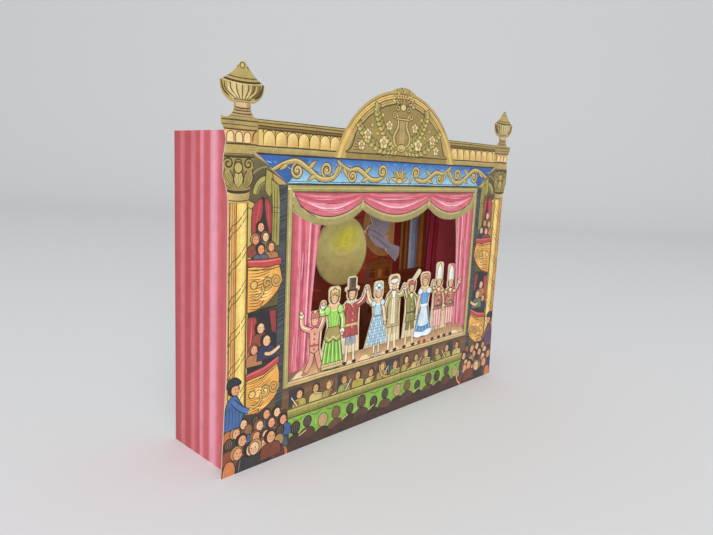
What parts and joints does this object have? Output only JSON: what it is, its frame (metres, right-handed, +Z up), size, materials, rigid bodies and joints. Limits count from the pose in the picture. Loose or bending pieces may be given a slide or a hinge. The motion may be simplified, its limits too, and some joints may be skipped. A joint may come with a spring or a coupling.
{
  "type": "greeting card",
  "caption": "Free-standing toy-theatre greeting card: die-cut front with a stage window, folded box behind it and a hung inner cut-out.",
  "frame": {"origin": "on the standing surface, under the middle of the card's box", "axes": "+X right along the front as the audience sees it, +Y from the front to the back wall, +Z up"},
  "size_m": [0.1838, 0.0398, 0.148],
  "materials": {
    "front_card": "litho print, matt",
    "box_card": "uncoated white board, printed on one side",
    "border_card": "litho print, matt"
  },
  "bodies": {
    "root": {"front_panel": "front_card", "stage_box": "box_card", "hanging_border": "border_card"}
  },
  "joints": []
}
